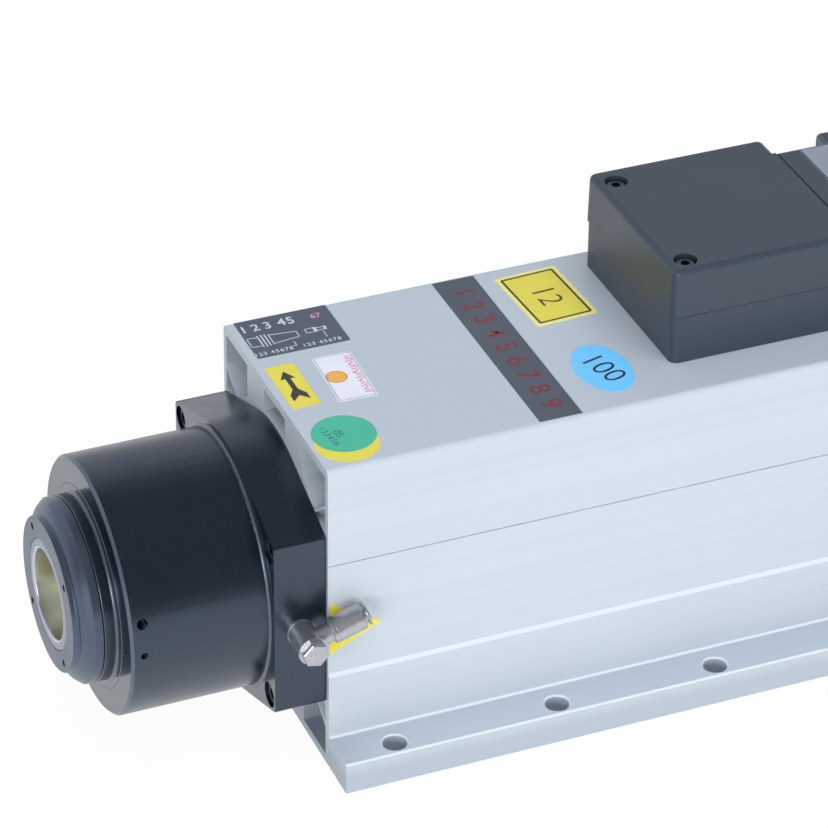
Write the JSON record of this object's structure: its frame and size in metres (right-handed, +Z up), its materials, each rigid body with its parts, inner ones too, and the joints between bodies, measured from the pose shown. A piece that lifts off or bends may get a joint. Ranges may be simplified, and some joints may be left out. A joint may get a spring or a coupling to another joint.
{
  "type": "motor spindle",
  "caption": "Air cooled motor spindle in a finned aluminium extrusion with feet, a black round nose with a tapered tool socket, a terminal box on top and a fan cowl behind.",
  "frame": {"origin": "centre of the underside of the base, half way along the aluminium extrusion", "axes": "+X along the spindle's axis from the nose to the rear, +Y to the side away from the air elbow, +Z up"},
  "size_m": [0.4286, 0.132, 0.1563],
  "materials": {
    "anodised_body": "clear anodised, fine long brushing",
    "black_housing": "black anodised, satin",
    "dark_steel": "black oxide steel, satin",
    "ground_steel": "fine ground",
    "bearing_steel": "polished bearing steel",
    "core_steel": "stacked electrical sheet",
    "copper_winding": "varnished copper, density close to brass",
    "bare_aluminium": "machined",
    "nickel_brass": "nickel plated",
    "screw_steel": "black oxide",
    "bright_screw": "zinc plated",
    "spring_steel": "hardened spring steel",
    "cage_resin": "cotton and phenolic resin",
    "seal_rubber": "nitrile rubber",
    "box_plastic": "dark grey, fine texture",
    "black_plastic": "glass filled nylon",
    "block_plastic": "pale nylon",
    "fluoro_seal": "filled fluoropolymer"
  },
  "bodies": {
    "housing": {"body_extrusion": "anodised_body", "front_housing": "black_housing", "front_cap": "black_housing", "flange_screws": "screw_steel", "banjo_bolt": "nickel_brass", "elbow_washers": "nickel_brass", "front_outer_rings": "bearing_steel", "rear_outer_rings": "bearing_steel", "front_spacer_outer": "ground_steel", "rear_bearing_housing": "bare_aluminium", "preload_spring": "spring_steel", "stator_core": "core_steel", "stator_winding": "copper_winding", "rear_plate": "bare_aluminium", "rear_plate_screws": "screw_steel", "cylinder_body": "bare_aluminium", "cylinder_cover": "bare_aluminium", "cylinder_screws": "screw_steel", "fan_cowl": "black_housing", "cowl_screws": "screw_steel", "air_fittings": "nickel_brass", "fan_frame": "black_plastic", "fan_guard": "dark_steel", "fan_screws": "screw_steel", "terminal_box_base": "box_plastic", "terminal_box_screws": "screw_steel", "terminal_box_gasket": "seal_rubber", "terminal_box_lid": "box_plastic", "lid_screws": "screw_steel", "terminal_block": "block_plastic", "gland_bodies": "black_plastic", "gland_caps": "black_plastic", "gland_seals": "seal_rubber", "gland_nuts": "black_plastic", "wiring_cover": "box_plastic", "cover_screws": "bright_screw"},
    "rotor": {"spindle_shaft": "ground_steel", "nose_ring": "dark_steel", "front_inner_rings": "bearing_steel", "front_spacer_inner": "ground_steel", "rotor_core": "core_steel", "rotor_end_rings": "bare_aluminium", "rear_inner_rings": "bearing_steel", "rear_lock_nut": "dark_steel", "disc_springs": "spring_steel"},
    "front_cage": {"front_cages": "cage_resin", "front_balls": "bearing_steel"},
    "rear_cage": {"rear_cages": "cage_resin", "rear_balls": "bearing_steel"},
    "drawbar": {"drawbar": "ground_steel", "drawbar_nut": "dark_steel"},
    "claw_1": {"claw_1": "dark_steel"},
    "claw_2": {"claw_2": "dark_steel"},
    "claw_3": {"claw_3": "dark_steel"},
    "claw_4": {"claw_4": "dark_steel"},
    "piston": {"piston": "bare_aluminium", "piston_seal": "fluoro_seal"},
    "fan": {"fan_rotor": "black_plastic"},
    "elbow": {"elbow_body": "nickel_brass"},
    "collar": {"release_collar": "nickel_brass"}
  },
  "joints": [
    {"name": "spindle_spin", "type": "hinge", "parent": "housing", "child": "rotor", "pos_m": [0, 0, 0.06], "axis": [1, 0, 0], "continuous": true},
    {"name": "front_cage_spin", "type": "hinge", "parent": "housing", "child": "front_cage", "pos_m": [-0.1525, 0, 0.06], "axis": [1, 0, 0], "continuous": true},
    {"name": "rear_cage_spin", "type": "hinge", "parent": "housing", "child": "rear_cage", "pos_m": [0.0965, 0, 0.06], "axis": [1, 0, 0], "continuous": true},
    {"name": "piston_slide", "type": "slide", "parent": "housing", "child": "piston", "axis": [-1, 0, 0], "range_m": [0, 0.009]},
    {"name": "drawbar_slide", "type": "slide", "parent": "rotor", "child": "drawbar", "axis": [-1, 0, 0], "range_m": [0, 0.00793], "deforming": ["disc_springs"]},
    {"name": "claw_1_swing", "type": "hinge", "parent": "drawbar", "child": "claw_1", "pos_m": [-0.124, 0.00354, 0.06354], "axis": [0, 0.7071, -0.7071], "range_deg": [0, 2.55]},
    {"name": "claw_2_swing", "type": "hinge", "parent": "drawbar", "child": "claw_2", "pos_m": [-0.124, -0.00354, 0.06354], "axis": [0, 0.7071, 0.7071], "range_deg": [0, 2.55]},
    {"name": "claw_3_swing", "type": "hinge", "parent": "drawbar", "child": "claw_3", "pos_m": [-0.124, -0.00354, 0.05646], "axis": [0, -0.7071, 0.7071], "range_deg": [0, 2.55]},
    {"name": "claw_4_swing", "type": "hinge", "parent": "drawbar", "child": "claw_4", "pos_m": [-0.124, 0.00354, 0.05646], "axis": [0, -0.7071, -0.7071], "range_deg": [0, 2.55]},
    {"name": "fan_spin", "type": "hinge", "parent": "housing", "child": "fan", "pos_m": [0.218, 0, 0.0765], "axis": [1, 0, 0], "continuous": true},
    {"name": "elbow_swivel", "type": "hinge", "parent": "housing", "child": "elbow", "pos_m": [-0.11925, -0.0552, 0.058], "axis": [0, 1, 0], "range_deg": [-90, 90]},
    {"name": "collar_press", "type": "slide", "parent": "elbow", "child": "collar", "axis": [-0.9483, 0, -0.3173], "range_m": [0, 0.001], "stiffness_N_per_m": 800}
  ],
  "couplings": [
    {"joint": "front_cage_spin", "follows": "spindle_spin", "ratio": 0.4185},
    {"joint": "rear_cage_spin", "follows": "spindle_spin", "ratio": 0.4106},
    {"joint": "drawbar_slide", "follows": "piston_slide", "ratio": 0.88},
    {"joint": "claw_1_swing", "follows": "piston_slide", "rad_per_m": 4.8433},
    {"joint": "claw_2_swing", "follows": "piston_slide", "rad_per_m": 4.8433},
    {"joint": "claw_3_swing", "follows": "piston_slide", "rad_per_m": 4.8433},
    {"joint": "claw_4_swing", "follows": "piston_slide", "rad_per_m": 4.8433}
  ]
}
